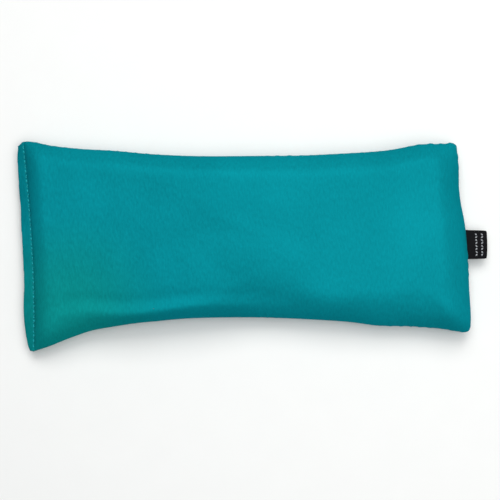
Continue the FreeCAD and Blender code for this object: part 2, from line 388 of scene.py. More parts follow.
def hem_half(s, half):
    """Half thickness of the closing hem: flat, with a rolled edge."""
    radius = half / 2
    inside = np.clip(s - CLOSING_EDGE, 0.0, radius)
    return radius + np.sqrt(np.maximum(radius ** 2 - (radius - inside) ** 2, 0.0))


def cover_stations():
    """Stations of the cloth's grid: close together over the hem and at the end seam."""
    hem = [0.0, 0.06, 0.2, 0.4, 1.2, 2.1, 3.0, 3.8, 4.5, 5.2]
    steps = [CLOSING_EDGE + h * MM for h in hem]
    after = [0.55, 1.2, 2.1, 3.2, 4.6]
    steps += [CLOSING_STITCH + a * MM for a in after]
    before = [4.6, 3.2, 2.1, 1.2, 0.5, 0.0]
    last = LABEL_END - before[0] * MM
    count = round((last - steps[-1]) / (2.1 * MM))
    first = steps[-1]
    steps += [first + (last - first) * i / count for i in range(1, count)]
    return np.array(steps + [LABEL_END - b * MM for b in before])


def cover_shares(crest, spans=50):
    """Shares across, spaced evenly along the cloth at the waist."""
    fine = -np.cos(np.linspace(0, math.pi, 801))
    waist = np.zeros_like(fine)
    y = plan(waist, fine)[1]
    z = crest * (1 - np.abs(fine) ** 4.0) ** 0.5
    run = np.concatenate([[0], np.cumsum(np.hypot(np.diff(y), np.diff(z)))])
    return np.interp(np.linspace(0, run[-1], spans + 1), run, fine)


def cover_form(cover):
    """Stations, shares and the two grids of points that the top and bottom cloth take up."""
    stations, shares = cover_stations(), cover_shares(cover.crest)
    s, t = np.meshgrid(stations, shares, indexing="ij")
    x, y = plan(s, t)
    level = seam_level(s, y)
    in_hem = s <= CLOSING_STITCH
    half = hem_half(s, cover.hem / 2)
    edge = np.abs(t) > 0.9999
    above = np.where(in_hem, half, np.maximum(rise(s, t, cover.crest), 0) + half)
    below = np.where(in_hem, half, fall(s, t, cover.sag) + half)
    ends = edge | (s >= LABEL_END - 1e-6) | (s <= CLOSING_EDGE + 1e-6)
    above = np.where(ends, 0.0, above)
    below = np.where(ends, 0.0, below)
    top = np.stack([x, y, level + above], axis=-1)
    bottom = np.stack([x, y, np.maximum(level - below, cover.cloth / 2)], axis=-1)
    return stations, shares, top, bottom


# ---------------------------------------------------------------- small helpers

def select_only(piece):
    bpy.ops.object.select_all(action="DESELECT")
    piece.select_set(True)
    bpy.context.view_layer.objects.active = piece


def new_piece(name, points, faces):
    mesh = bpy.data.meshes.new(name)
    mesh.from_pydata([tuple(p) for p in points], [], faces)
    mesh.update()
    piece = bpy.data.objects.new(name, mesh)
    bpy.context.scene.collection.objects.link(piece)
    select_only(piece)
    return piece


def points_of(piece):
    flat = np.empty(len(piece.data.vertices) * 3)
    piece.data.vertices.foreach_get("co", flat)
    return flat.reshape(-1, 3)


def apply_modifier(piece, kind, **values):
    """Adds one modifier with these values and applies it."""
    select_only(piece)
    bpy.ops.object.modifier_add(type=kind)
    modifier = piece.modifiers[-1]
    for key, value in values.items():
        setattr(modifier, key, value)
    bpy.ops.object.modifier_apply(modifier=modifier.name)


def edit_all():
    """Opens the active piece in edit mode with all of it selected."""
    bpy.ops.object.mode_set(mode="EDIT")
    bpy.ops.mesh.select_all(action="SELECT")


def face_outwards():
    """Turns every face of the active piece outwards."""
    edit_all()
    bpy.ops.mesh.normals_make_consistent(inside=False)
    bpy.ops.object.mode_set(mode="OBJECT")


def taken_apart(piece):
    """Points and faces of a finished shape, which is itself removed."""
    points, faces = points_of(piece), [tuple(face.vertices) for face in piece.data.polygons]
    bpy.data.objects.remove(piece)
    return points, faces


def lay_flat(piece, flat):
    """Gives each point of a sheet its place in the flat cloth, as its UV map."""
    layer = piece.data.uv_layers.new(name="cloth")
    corners = np.empty(len(piece.data.loops), dtype=np.int64)
    piece.data.loops.foreach_get("vertex_index", corners)
    layer.data.foreach_set("uv", np.asarray(flat)[corners].ravel())


def run_along(points):
    """Distance along a line of points at each of them."""
    return np.concatenate([[0], np.cumsum(np.linalg.norm(np.diff(points, axis=0), axis=1))])


def smooth(piece, angle=None):
    select_only(piece)
    if angle is None:
        bpy.ops.object.shade_smooth()
    else:
        bpy.ops.object.shade_smooth_by_angle(angle=math.radians(angle))


def dress(piece, material):
    piece.data.materials.clear()
    piece.data.materials.append(material)


def grid_faces(rows, columns, flip=False, start=0):
    faces = []
    for i in range(rows - 1):
        for j in range(columns - 1):
            a = start + i * columns + j
            face = (a, a + columns, a + columns + 1, a + 1)
            faces.append(face[::-1] if flip else face)
    return faces


def refine(grid):
    """The same smooth grid with a row between every two rows and columns."""
    for axis in (0, 1):
        g = np.moveaxis(grid, axis, 0)
        padded = np.concatenate([[2 * g[0] - g[1]], g, [2 * g[-1] - g[-2]]])
        between = (9 * (padded[1:-2] + padded[2:-1]) - padded[:-3] - padded[3:]) / 16
        out = np.empty((2 * len(g) - 1,) + g.shape[1:])
        out[0::2] = g
        out[1::2] = between
        grid = np.moveaxis(out, 0, axis)
    return grid


def unit(vectors):
    return vectors / np.maximum(np.linalg.norm(vectors, axis=-1, keepdims=True), 1e-12)


def grid_normals(grid):
    along = np.gradient(grid, axis=0)
    across = np.gradient(grid, axis=1)
    return unit(np.cross(along, across))


def noise_at(points, scale, seed):
    """Smooth noise from about -1 to 1, at points spaced by scale."""
    shift = Vector((seed * 3.1, seed * 1.7, seed * 0.9))
    flat = points.reshape(-1, 3)
    values = [noise.noise(Vector(p) / scale + shift) for p in flat]
    return np.array(values).reshape(points.shape[:-1])


# ---------------------------------------------------------------- materials

class Finish:
    """A material being put together: its nodes, its links and its shader."""

    def __init__(self, name, **shader_values):
        self.material = bpy.data.materials.new(name)
        self.material.use_nodes = True
        self.nodes, self.links = self.material.node_tree.nodes, self.material.node_tree.links
        self.nodes.clear()
        output = self.add("OutputMaterial")
        self.shader = self.add("BsdfPrincipled", **shader_values)
        self.join(self.shader, "BSDF", output, "Surface")

    def add(self, kind, **values):
        """A node with its plain properties and the defaults of its sockets set."""
        made = self.nodes.new("ShaderNode" + kind)
        for key, value in values.items():
            if key in made.inputs:
                made.inputs[key].default_value = value
            else:
                setattr(made, key, value)
        return made

    def join(self, source, outlet, node, inlet):
        self.links.new(source.outputs[outlet], node.inputs[inlet])

    def pattern(self, kind, place, outlet, **values):
        """A texture laid out by a place: the object's own coordinates or the flat cloth."""
        made = self.add("Tex" + kind, **values)
        self.join(place, outlet, made, "Vector")
        return made

    def mix(self, first, second, factor):
        """Two patterns mixed, each given as a node and its outlet."""
        both = self.add("Mix", data_type="FLOAT", Factor=factor)
        self.join(*first, both, "A")
        self.join(*second, both, "B")
        return both

    def tones(self, pattern, colour, steps):
        """The colour, made darker and lighter by a pattern: steps are places and factors."""
        tones = self.add("ValToRGB")
        elements = tones.color_ramp.elements
        while len(elements) < len(steps):
            elements.new(0.5)
        for element, (place, factor) in zip(elements, steps):
            element.position = place
            element.color = (*(part * factor for part in colour[:3]), 1.0)
        self.join(*pattern, tones, "Fac")
        return tones

    def paint(self, pattern, colour, steps):
        self.join(self.tones(pattern, colour, steps), "Color", self.shader, "Base Color")

    def roughen(self, pattern, low, high, start=0.0, end=1.0):
        """Roughness from low to high where the pattern goes from start to end."""
        rough = self.add("MapRange", **{"From Min": start, "From Max": end,
                                        "To Min": low, "To Max": high})
        self.join(*pattern, rough, "Value")
        self.join(rough, "Result", self.shader, "Roughness")

    def bump(self, pattern, strength, depth, under=None, **values):
        """A bump in the shader's surface, added to the one under it."""
        made = self.add("Bump", Strength=strength, Distance=depth, **values)
        self.join(*pattern, made, "Height")
        if under is not None:
            self.join(under, "Normal", made, "Normal")
        self.join(made, "Normal", self.shader, "Normal")
        return made


def satin_material(colour):
    """Satin: a tinted, slightly streaked gloss over fine floats, with seed pressing through."""
    satin = Finish("teal_satin", **{
        "Metallic": 0.15, "Specular IOR Level": 0.0, "Specular Tint": (0.03, 0.75, 0.9, 1.0),
        "Anisotropic": 0.45, "Sheen Weight": 0.03, "Sheen Roughness": 0.35,
        "Sheen Tint": (0.05, 0.8, 0.9, 1.0)})
    cloth = satin.add("UVMap", uv_map="cloth")
    place = satin.add("TexCoord")

    # broad drift of the dye, and a small mottling of painted sheen from floats at different angles
    drift = satin.pattern("Noise", place, "Object", Scale=22.0, Detail=2.0, Roughness=0.5)
    turned = satin.add("Mapping", Rotation=(0, 0, math.radians(52)), Scale=(1.0, 0.35, 1.0))
    satin.join(cloth, "UV", turned, "Vector")
    mottle = satin.pattern("Noise", turned, "Vector", Scale=1150.0, Detail=3.0, Roughness=0.62)
    both = satin.mix((drift, "Fac"), (mottle, "Fac"), 0.62)
    dye_and_sheen = satin.tones((both, "Result"), colour, ((0.28, 0.80), (0.5, 1.0), (0.74, 1.22)))

    # painted highlight: a greener sheen painted round the front corner of the closing end
    apart = satin.add("VectorMath", operation="DISTANCE")
    apart.inputs[1].default_value = PAINTED_SHEEN_PLACE
    satin.join(place, "Object", apart, 0)
    near, far = PAINTED_SHEEN_REACH
    painted_sheen = satin.add("MapRange", interpolation_type="SMOOTHSTEP",
                      **{"From Min": near, "From Max": far, "To Min": 1.0, "To Max": 0.0})
    satin.join(apart, "Value", painted_sheen, "Value")
    sheen_mix = satin.add("Mix", data_type="RGBA", blend_type="MULTIPLY")
    satin.join(painted_sheen, "Result", sheen_mix, "Factor")
    base, tint = [socket for socket in sheen_mix.inputs if socket.type == "RGBA"]
    mixed, = [socket for socket in sheen_mix.outputs if socket.type == "RGBA"]
    tint.default_value = PAINTED_SHEEN_TINT
    satin.links.new(dye_and_sheen.outputs["Color"], base)
    satin.links.new(mixed, satin.shader.inputs["Base Color"])
    satin.roughen((mottle, "Fac"), 0.48, 0.62, 0.25, 0.75)

    # seeds under the cloth, then the grain and the diagonal floats of the weave
    bent = satin.pattern("Noise", cloth, "UV", Scale=300.0, Detail=1.0)
    warped = satin.add("VectorMath", operation="MULTIPLY_ADD")
    warped.inputs[1].default_value = (0.003, 0.003, 0.0)
    satin.join(bent, "Color", warped, 0)
    satin.join(cloth, "UV", warped, 2)
    seeds = satin.pattern("Voronoi", warped, "Vector", feature="SMOOTH_F1", Scale=430.0,
                          Smoothness=0.7)
    floats = satin.pattern("Wave", cloth, "UV", Scale=1300.0, Distortion=1.2, Detail=1.0,
                           bands_direction="DIAGONAL")
    under = satin.bump((seeds, "Distance"), 0.5, 0.00016, invert=True)
    grain = satin.bump((mottle, "Fac"), 0.6, 0.00005, under)
    satin.bump((floats, "Fac"), 0.25, 0.00002, grain)
    return satin.material


def thread_material(name, colour, plies=2600.0):
    """Twisted polyester thread: plies painted bright, with painted shade as dark lines between them.
    """
    thread = Finish(name, **{"Specular IOR Level": 0.0})
    place = thread.add("TexCoord")
    ply = thread.pattern("Wave", place, "Object", Scale=plies / 6.283, Distortion=0.6,
                         bands_direction="DIAGONAL")
    fuzz = thread.pattern("Noise", place, "Object", Scale=3500.0, Detail=2.0)
    both = thread.mix((ply, "Fac"), (fuzz, "Fac"), 0.4)
    # painted light and shade: lighter on the plies, darker between them; the fuzz varies it at
    # random
    thread.paint((both, "Result"), colour, ((0.15, 0.55), (0.5, 1.0), (0.85, 1.3)))
    thread.roughen((fuzz, "Fac"), 0.42, 0.62)
    thread.bump((both, "Result"), 0.6, 0.00005)
    return thread.material


def seed_material(colour):
    """Flax seed: a smooth brown coat that differs from seed to seed."""
    seed = Finish("flax_seed", **{"Coat Weight": 0.35, "Coat Roughness": 0.25})
    place = seed.add("TexCoord")
    each = seed.pattern("Voronoi", place, "Object", Scale=260.0)
    specks = seed.pattern("Noise", place, "Object", Scale=1400.0, Detail=3.0)
    both = seed.mix((each, "Color"), (specks, "Fac"), 0.45)
    seed.paint((both, "Result"), colour, ((0.2, 0.5), (0.5, 1.0), (0.85, 1.9)))
    seed.roughen((specks, "Fac"), 0.3, 0.5)
    seed.bump((specks, "Fac"), 0.3, 0.00004)
    return seed.material


def tape_material(colour):
    """Black woven tape: a fine rib across the warp, with a little lint."""
    tape = Finish("black_label_tape", **{"Sheen Weight": 0.02, "Specular IOR Level": 0.06,
                                         "Anisotropic": 0.4})
    cloth = tape.add("UVMap", uv_map="cloth")
    rib = tape.pattern("Wave", cloth, "UV", Scale=560.0, Distortion=0.4, bands_direction="X")
    warp = tape.pattern("Wave", cloth, "UV", Scale=760.0, Distortion=0.6, bands_direction="Y")
    weave = tape.mix((rib, "Fac"), (warp, "Fac"), 0.5)
    lint = tape.pattern("Noise", cloth, "UV", Scale=900.0, Detail=3.0)
    both = tape.mix((weave, "Result"), (lint, "Fac"), 0.4)
    tape.paint((both, "Result"), colour, ((0.2, 0.5), (0.55, 1.0), (0.85, 2.4)))
    tape.roughen((lint, "Fac"), 0.5, 0.75)
    tape.bump((weave, "Result"), 0.8, 0.00006)
    return tape.material


def floor_material(colour):
    """Pale matt paper."""
    floor = Finish("studio_floor", **{"Roughness": 0.9, "Specular IOR Level": 0.1})
    paper = floor.pattern("Noise", floor.add("TexCoord"), "Object", Scale=60.0, Detail=3.0)
    floor.paint((paper, "Fac"), colour, ((0.3, 0.99), (0.7, 1.0)))
    return floor.material


# ---------------------------------------------------------------- cover

def relax(stations, shares, top, bottom, cover):
    """Lets the cloth settle over the filling by simulation, held along its seams and its hem."""
    rows, columns = len(stations), len(shares)
    index = np.arange(rows * columns).reshape(rows, columns)
    under = index.copy()
    inner = np.s_[1:-1, 1:-1]
    under[inner] = rows * columns + np.arange((rows - 2) * (columns - 2)).reshape(rows - 2, -1)
    faces = grid_faces(rows, columns)
    for i in range(rows - 1):
        for j in range(columns - 1):
            faces.append((int(under[i, j]), int(under[i, j + 1]),
                          int(under[i + 1, j + 1]), int(under[i + 1, j])))
    points = np.concatenate([top.reshape(-1, 3), bottom[inner].reshape(-1, 3)])
    bag = new_piece("cover_cloth", points, faces)

    held = bag.vertex_groups.new(name="held")
    rim = np.ones((rows, columns), bool)
    rim[1:-1, 1:-1] = False
    rim |= (stations <= CLOSING_STITCH + 0.6 * MM)[:, None]
    held.add([int(v) for v in np.unique(np.concatenate([index[rim], under[rim]]))], 1.0, "REPLACE")

    bpy.ops.object.modifier_add(type="CLOTH")
    cloth = bag.modifiers[-1]
    for key, value in SATIN_CLOTH.items():
        setattr(cloth.settings, key, value)
    cloth.settings.shrink_min = -cover.ease
    cloth.settings.vertex_group_mass = "held"
    cloth.settings.effector_weights.gravity = 0.0
    for step in range(1, SETTLING_STEPS + 1):
        bpy.context.scene.frame_set(step)
    bpy.ops.object.modifier_apply(modifier=cloth.name)
    bpy.context.scene.frame_set(1)

    moved = points_of(bag) - points
    bpy.data.objects.remove(bag)
    length = np.linalg.norm(moved, axis=1, keepdims=True)
    print(f"cloth moved up to {length.max() / MM:.2f} mm, {length.mean() / MM:.2f} mm on average")
    moved = moved * np.minimum(1.0, MOST_SETTLING / np.maximum(length, 1e-9))
    return top + eased(moved[index]), bottom + eased(moved[under])


def eased(moved, passes=5):
    """The cloth's movement without its sharpest creases, still nothing along its edges."""
    for _ in range(passes):
        core = moved[1:-1, 1:-1]
        around = moved[:-2, 1:-1] + moved[2:, 1:-1] + moved[1:-1, :-2] + moved[1:-1, 2:]
        moved = moved.copy()
        moved[1:-1, 1:-1] = core / 2 + around / 8
    return moved


def puckers(s, t, seed):
    """Small gathers beside the sewn sides and the end seam, which fade inwards."""
    front, back = sides(s)
    y = between(front, back, t)
    edge = np.minimum(y - front, back - y)
    end = np.maximum(LABEL_END - s, 0.0)
    level = t * 0
    along_side = s + 2.2 * MM * noise_at(np.stack([s, level, level], -1), 14 * MM, seed)
    along_end = y + 2.2 * MM * noise_at(np.stack([y, level, level], -1), 14 * MM, seed + 3)
    patches = noise_at(np.stack([s, y, level], -1), 24 * MM, seed + 5)
    patchy = np.clip(0.55 + 0.9 * patches, 0.1, 1.3)
    side = np.sin(along_side * 2 * math.pi / (5.2 * MM)) * np.exp(-edge / (3.6 * MM))
    tip = np.sin(along_end * 2 * math.pi / (5.6 * MM)) * np.exp(-end / (3.2 * MM))
    body = np.clip((s - CLOSING_STITCH) / (6 * MM), 0, 1)
    return 0.32 * MM * (side * body + tip) * patchy


def closing_pulls(s, t):
    """The dent that each closing stitch pulls, and the small rucks beside the row."""
    y = plan(s, t)[1]
    groove = np.exp(-((s - CLOSING_STITCH) / (0.55 * MM)) ** 2)
    beat = 0.5 + 0.5 * np.cos(y * 2 * math.pi / STITCH_PITCH)
    ripple = np.sin(y * 2 * math.pi / (7.3 * MM) + 2.5 * np.sin(y / (11 * MM)))
    rucks = np.exp(-np.abs(s - CLOSING_STITCH) / (3.5 * MM)) * ripple
    return -groove * (0.10 + 0.16 * beat) * MM + 0.10 * MM * rucks


def detail(stations, shares, grid, side, seed):
    """A finer grid with gathers, stitch dents and the seeds that press through."""
    fine = refine(grid)
    fine_s = refine(np.repeat(stations[:, None, None], len(shares), 1))[..., 0]
    fine_t = np.clip(refine(np.repeat(shares[None, :, None], len(stations), 0))[..., 0], -1, 1)
    away = grid_normals(fine) * side
    lumps = noise_at(fine, LUMPS[0], seed) * LUMPS[1]
    seeds = noise_at(fine, SEED_MARKS[0], seed + 11) * SEED_MARKS[1]
    body = np.clip((fine_s - CLOSING_STITCH - 1 * MM) / (8 * MM), 0, 1)
    calm = body * (1 - np.abs(fine_t) ** 8)
    push = (lumps + seeds) * calm + puckers(fine_s, fine_t, seed) + closing_pulls(fine_s, fine_t)
    push[0] = push[-1] = push[:, 0] = push[:, -1] = 0
    return fine_s, fine + away * push[..., None]


def turned_in(rim, outward, widths, radius, side):
    """Rows of points that roll round a seam's edge and run back inside along its allowance."""
    rows = []
    up = np.array([0.0, 0.0, side])
    base = rim + up * (EDGE_GAP + radius)
    for angle in (0.0, 35.0, 65.0, 90.0):
        a = math.radians(angle)
        rows.append(base - outward * radius * (1 - math.cos(a)) - up * radius * math.sin(a))
    for share in (0.12, 0.4, 0.7, 1.0):
        rows.append(rows[3] - outward * (widths * share)[:, None])
    return rows


def edge_outward(line, towards):
    """Level directions that point away from the pillow along one of its edges."""
    along = unit(np.gradient(line, axis=0) * np.array([1, 1, 0]))
    out = np.stack([along[:, 1], -along[:, 0], np.zeros(len(line))], axis=-1)
    sign = np.sign((out * towards).sum(axis=1, keepdims=True))
    return out * np.where(sign == 0, 1, sign)


def panel_piece(name, fine_s, grid, side, cover):
    """One satin panel: its outer face with every edge turned in, then thickened inwards."""
    length = LABEL_END - fine_s[:, 0]
    from_hem = fine_s[:, 0] - CLOSING_STITCH
    widths = np.minimum(cover.allowance, np.maximum(length, 0) + LEAST_TURN)
    widths = np.minimum(widths, np.clip(from_hem, 0, 1) * 0.9 + LEAST_TURN)
    strips = {}
    for key, column, towards in (("front", 0, (0, -1, 0)), ("back", -1, (0, 1, 0))):
        line = grid[:, column]
        strips[key] = turned_in(line, edge_outward(line, towards), widths, EDGE_RADIUS, side)
        grid[:, column] = strips[key][0]
    across = np.minimum(np.linalg.norm(grid[-1] - grid[-1, 0], axis=1),
                        np.linalg.norm(grid[-1] - grid[-1, -1], axis=1))
    hem_radius = cover.hem / 4 - EDGE_GAP / 2
    for key, row, towards, most, radius in (("end", -1, (1, 0, 0), cover.allowance, EDGE_RADIUS),
                                            ("hem", 0, (-1, 0, 0), HEM_TURN, hem_radius)):
        line = grid[row].copy()
        line[:, 2] = line[len(line) // 2, 2]
        turns = np.minimum(most, across + LEAST_TURN)
        strips[key] = turned_in(line, edge_outward(line, towards), turns, radius, side)
        grid[row, 1:-1] = strips[key][0][1:-1]

    rows, columns = grid.shape[:2]
    points = list(grid.reshape(-1, 3))
    flip = side < 0
    faces = grid_faces(rows, columns, flip)
    flat = [(a, b) for a in run_along(grid[:, columns // 2]) for b in run_along(grid[rows // 2])]

    def sew_on(strip, rim_indices, reverse, direction):
        """Adds a strip's rows beyond the rim, with their places in the flat cloth."""
        before = list(rim_indices)
        run = 0.0
        for last, row in zip(strip, strip[1:]):
            run += float(np.linalg.norm(row - last, axis=1).mean())
            start = len(points)
            points.extend(row)
            for k in range(len(row)):
                a, b = flat[rim_indices[k]]
                flat.append((a + direction[0] * run, b + direction[1] * run))
            now = list(range(start, start + len(row)))
            for k in range(len(row) - 1):
                face = (before[k], before[k + 1], now[k + 1], now[k])
                faces.append(face[::-1] if reverse != flip else face)
            before = now

    sew_on(strips["front"], [i * columns for i in range(rows)], True, (0, -1))
    sew_on(strips["back"], [i * columns + columns - 1 for i in range(rows)], False, (0, 1))
    sew_on(strips["end"], [(rows - 1) * columns + j for j in range(columns)], True, (1, 0))
    sew_on(strips["hem"], list(range(columns)), False, (-1, 0))

    piece = new_piece(name, points, faces)
    lay_flat(piece, flat)
    apply_modifier(piece, "SOLIDIFY", thickness=cover.cloth, offset=-1.0)
    smooth(piece)
    return piece


class EYEPILLOW_OT_cover(Operator):
    """Makes the two satin panels, settled over the filling and turned in along every edge"""
    bl_idname = "eyepillow.cover"
    bl_label = "Satin cover"

    def execute(self, context):
        cover = context.scene.pillow_cover
        stations, shares, top, bottom = cover_form(cover)
        top, bottom = relax(stations, shares, top, bottom, cover)
        bottom[..., 2] = np.maximum(bottom[..., 2], 0.15 * MM)
        material = satin_material(tuple(cover.satin))
        SETTLED.update(stations=stations, top=top, bottom=bottom)
        for name, grid, side, seed in (("top_panel", top, 1, 2), ("bottom_panel", bottom, -1, 9)):
            fine_s, fine = detail(stations, shares, grid, side, seed)
            fine[..., 2] = np.maximum(fine[..., 2], 0.1 * MM)
            piece = panel_piece(name, fine_s, fine, side, cover)
            dress(piece, material)
            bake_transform(piece)
            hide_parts(*[name + "_" + half for half in HALVES])
        return {"FINISHED"}


# ---------------------------------------------------------------- filling

def flax_seed(length):
    """Points and faces of one seed: a flat drop with one pointed end."""
    bpy.ops.object.select_all(action="DESELECT")
    bpy.ops.mesh.primitive_uv_sphere_add(segments=6, ring_count=4, radius=0.5)
    seed = bpy.context.object
    edit_all()
    bpy.ops.transform.rotate(value=math.radians(90), orient_axis="Y", center_override=(0, 0, 0))
    bpy.ops.transform.resize(value=(length, length * SEED_WIDTH, length * SEED_DEPTH),
                             center_override=(0, 0, 0))
    bpy.ops.object.mode_set(mode="OBJECT")
    points, faces = taken_apart(seed)
    points[:, 1] *= 1.0 - SEED_TAPER * points[:, 0] / (length / 2)
    return points, faces


class EYEPILLOW_OT_filling(Operator):
    """Makes the flax filling: a close heap with separate seeds lying all over it"""
    bl_idname = "eyepillow.filling"
    bl_label = "Flax filling"

    def execute(self, context):
        filling = context.scene.pillow_filling
        stations = SETTLED["stations"]
        kept = (stations > HEAP_START) & (stations < HEAP_END)
        level = seam_level(stations)[kept, None]
        grids = []
        for key, side in (("top", 1), ("bottom", -1)):
            cloth = SETTLED[key]
            inside = (cloth - grid_normals(cloth) * side * filling.clearance)[kept, 2:-2]
            apart = np.maximum((inside[..., 2] - level) * side, LEAST_HEAP)
            inside[..., 2] = level + side * apart
            grids.append(inside)
        top, bottom = grids
        top[..., 2] += noise_at(top, HEAP_LUMPS[0], 21) * HEAP_LUMPS[1]
        rows, columns = top.shape[:2]
        points = np.concatenate([top.reshape(-1, 3), bottom.reshape(-1, 3)])
        faces = grid_faces(rows, columns) + grid_faces(rows, columns, True, rows * columns)
        ring = list(range(columns))
        ring += [i * columns + columns - 1 for i in range(1, rows)]
        ring += [(rows - 1) * columns + j for j in range(columns - 2, -1, -1)]
        ring += [i * columns for i in range(rows - 2, 0, -1)]
        for a, b in zip(ring, ring[1:] + ring[:1]):
            faces.append((a, b, b + rows * columns, a + rows * columns))
        seed_points, seed_faces = flax_seed(filling.seed_length)

        dice = random.Random(7)
        all_points, all_faces = [points], list(faces)
        total = len(points)
        for _ in range(filling.count):
            grid, side = (top, 1) if dice.random() < TOP_SHARE else (bottom, -1)
            i, j = dice.randint(2, rows - 3), dice.randint(3, columns - 4)
            a, b = dice.random(), dice.random()
            corner = grid[i, j]
            along, across = grid[i + 1, j] - corner, grid[i, j + 1] - corner
            up = unit(np.cross(along, across)) * side
            turn = dice.uniform(0, 2 * math.pi)
            ahead = unit(along)
            left = np.cross(up, ahead)
            front = ahead * math.cos(turn) + left * math.sin(turn) + up * dice.uniform(-0.12, 0.12)
            front = unit(front)
            beside = unit(np.cross(up, front))
            over = np.cross(front, beside)
            size = dice.uniform(*SEED_SIZES)
            centre = corner + along * a + across * b + up * SEED_LIFT
            turned = seed_points * size @ np.array([front, beside, over]) + centre
            all_points.append(turned)
            all_faces.extend(tuple(v + total for v in f) for f in seed_faces)
            total += len(turned)
        piece = new_piece("seed_filling", np.concatenate(all_points), all_faces)
        face_outwards()
        smooth(piece, 50)
        dress(piece, seed_material(tuple(filling.colour)))
        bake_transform(piece)
        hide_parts(*["seed_filling_" + half for half in HALVES])
        return {"FINISHED"}


# ---------------------------------------------------------------- thread

def stitch_shape(length, thick, around, spans):
    """Points and faces of one stitch, lying along X, with both ends drawn down into the cloth."""
    bpy.ops.object.select_all(action="DESELECT")
    bpy.ops.mesh.primitive_cylinder_add(vertices=around, radius=thick / 2, depth=length)
    stitch = bpy.context.object
    edit_all()
    bpy.ops.transform.rotate(value=math.radians(90), orient_axis="Y", center_override=(0, 0, 0))
    places = [(i / spans - 0.5) * length for i in range(spans + 1)]
    for x in places[1:-1]:
        bpy.ops.mesh.select_all(action="SELECT")
        bpy.ops.mesh.bisect(plane_co=(x, 0, 0), plane_no=(1, 0, 0), threshold=length / 1000)
    mesh = bmesh.from_edit_mesh(stitch.data)
    for x in places:
        sunk = abs(2 * x / length) ** 4
        for vertex in mesh.verts:
            vertex.select_set(abs(vertex.co.x - x) < length / 100)
        mesh.select_flush(True)
        bmesh.update_edit_mesh(stitch.data)
        slim = 1 - 0.35 * sunk
        bpy.ops.transform.resize(value=(1, slim, 0.8 * slim), center_override=(x, 0, 0))
        bpy.ops.transform.translate(value=(0, 0, -0.75 * sunk * thick))
    bpy.ops.object.mode_set(mode="OBJECT")
    return taken_apart(stitch)


def sew(name, form, places):
    """One piece made of a copy of the stitch at each place: its middle, direction and up."""
    points, faces = form
    all_points, all_faces = [], []
    for n, (middle, ahead, up) in enumerate(places):
        ahead = unit(np.asarray(ahead, float))
        beside = unit(np.cross(up, ahead))
        over = np.cross(ahead, beside)
        all_points.append(points @ np.array([ahead, beside, over]) + middle)
        all_faces.extend(tuple(v + n * len(points) for v in f) for f in faces)
    piece = new_piece(name, np.concatenate(all_points), all_faces)
    face_outwards()
    smooth(piece, 60)
    return piece


class EYEPILLOW_OT_closing_stitches(Operator):
    """Makes the needle and bobbin faces of the row of stitches that closes the hem"""
    bl_idname = "eyepillow.closing_stitches"
    bl_label = "Closing stitches"

    def execute(self, context):
        scene = context.scene
        thread, cover = scene.pillow_thread, scene.pillow_cover
        form = stitch_shape(thread.length, thread.thick, 8, 6)
        material = thread_material("topstitch_thread", tuple(thread.topstitch))
        row = np.array(CLOSING_STITCH)
        front, back = sides(row)
        count = int((back - front - 1.5 * MM) / thread.pitch)
        dice = random.Random(3)
        for name, side in (("closing_needle_thread", 1), ("closing_bobbin_thread", -1)):
            places = []
            for i in range(count):
                y = (front + back) / 2 + (i - (count - 1) / 2) * thread.pitch
                t = (y - (front + back) / 2) / ((back - front) / 2)
                ends = [plan(row, np.array(t + d / (back - front) * MM)) for d in (-1, 1)]
                x = (ends[0][0] + ends[1][0]) / 2 + dice.uniform(-0.06, 0.06) * MM
                ahead = (ends[1][0] - ends[0][0] + dice.uniform(-0.03, 0.03) * MM,
                         ends[1][1] - ends[0][1], 0)
                z = seam_level(row) + side * (cover.hem / 2 + 0.04 * MM)
                places.append(((x, y, z), ahead, (0, 0, side)))
            piece = sew(name, form, places)
            dress(piece, material)
            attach(piece, "closing_half")
            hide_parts(name)
        return {"FINISHED"}


class EYEPILLOW_OT_seam_stitches(Operator):
    """Makes the two threads of the lockstitch inside the two long seams and the end seam"""
    bl_idname = "eyepillow.seam_stitches"
    bl_label = "Seam stitches"

    def execute(self, context):
        thread = context.scene.pillow_thread
        form = stitch_shape(thread.length, thread.thick * 0.7, 5, 3)
        material = thread_material("seam_thread", tuple(thread.seam))
        side_s = np.linspace(CLOSING_STITCH + 4 * MM, LABEL_END - SEAM_INSET - 1 * MM, 300)
        end_t = np.linspace(1, -1, 120)[1:-1]
        end_s = end_t * 0 + LABEL_END - SEAM_INSET
        legs = ((side_s, side_s * 0 + 1), (end_s, end_t), (side_s[::-1], side_s * 0 - 1))
        path = np.concatenate([np.stack([*plan(s, t, SEAM_INSET), seam_level(s)], -1)
                               for s, t in legs])
        run = run_along(path)
        marks = np.arange(thread.pitch / 2, run[-1], thread.pitch)
        middle, ahead = [np.stack([np.interp(places, run, path[:, k]) for k in range(3)], -1)
                         for places in (marks, marks + thread.pitch / 4)]
        lift = context.scene.pillow_cover.cloth + thread.thick * 0.35 + 0.05 * MM
        for name, side in (("seam_needle_thread", 1), ("seam_bobbin_thread", -1)):
            places = [(here + np.array([0, 0, side * lift]), there - here, (0, 0, side))
                      for here, there in zip(middle, ahead)]
            piece = sew(name, form, places)
            dress(piece, material)
            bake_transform(piece)
            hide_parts(*[name + "_" + half for half in HALVES])
        return {"FINISHED"}


# ---------------------------------------------------------------- label

def label_path(label):
    """The tape's middle line seen from the side: distance out from the seam, and height."""
    half = label.tape / 2 + 0.04 * MM
    reach = LABEL_HIGH.x - (LABEL_SEAM - LEAN * LABEL_MIDDLE) - half - label.tape / 2
    out = np.concatenate([np.linspace(-label.tail, 0, 6)[:-1], np.linspace(0, reach, 18)])
    upper = [(d, half) for d in out]
    nose = [(reach + half * 1.3 * math.sin(a), half * math.cos(a))
            for a in np.linspace(0, math.pi, 7)[1:-1]]
    lower = [(d, -half) for d in out[::-1]]
    return upper + nose + lower, reach


